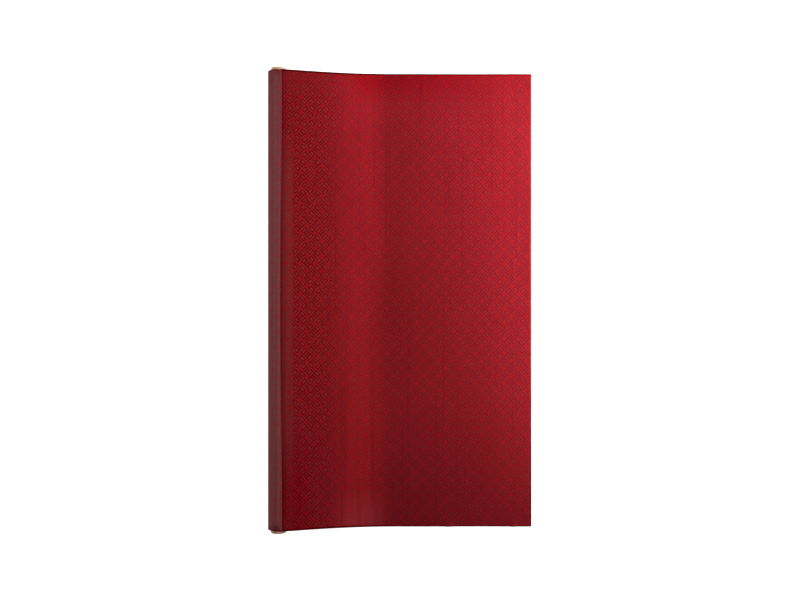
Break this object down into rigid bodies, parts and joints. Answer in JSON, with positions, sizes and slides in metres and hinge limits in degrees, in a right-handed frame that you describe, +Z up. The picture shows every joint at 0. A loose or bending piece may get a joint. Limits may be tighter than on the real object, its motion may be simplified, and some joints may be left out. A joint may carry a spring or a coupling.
{
  "type": "fabric roll",
  "caption": "Long roll of red tone-on-tone jacquard cloth wound on a kraft paper tube, with its free end drawn out over the top of the roll and laid flat.",
  "frame": {"origin": "on the table, under the centre of the whole object's bounding box", "axes": "+X square to the roll, from the roll towards the cloth's free edge; +Y along the roll's axis; +Z up from the table"},
  "size_m": [0.8102, 1.419, 0.0635],
  "materials": {
    "kraft_paper": "matte paperboard",
    "adhesive_tape": "translucent film",
    "jacquard_cloth": "satin jacquard weave"
  },
  "bodies": {
    "laid_cloth": {"fabric_sloping_span": "jacquard_cloth", "fabric_near_flat": "jacquard_cloth"},
    "roll": {"core_inner_liner": "kraft_paper", "core_ply_2": "kraft_paper", "core_ply_3": "kraft_paper", "core_ply_4": "kraft_paper", "core_outer_wrap": "kraft_paper", "starter_tape_1": "adhesive_tape", "starter_tape_2": "adhesive_tape", "starter_tape_3": "adhesive_tape", "fabric_inner_turns": "jacquard_cloth", "fabric_outer_turn": "jacquard_cloth"},
    "free_end": {"fabric_free_end": "jacquard_cloth"}
  },
  "joints": [
    {"name": "roll_spin", "type": "hinge", "parent": "laid_cloth", "child": "roll", "pos_m": [-0.37335, 0, 0.0318], "axis": [0, 1, 0], "range_deg": [-360, 360]},
    {"name": "free_end_pull", "type": "slide", "parent": "laid_cloth", "child": "free_end", "axis": [1, 0, 0], "range_m": [-0.1983, 0.1983]}
  ],
  "couplings": [
    {"joint": "free_end_pull", "follows": "roll_spin", "m_per_rad": 0.03155}
  ]
}
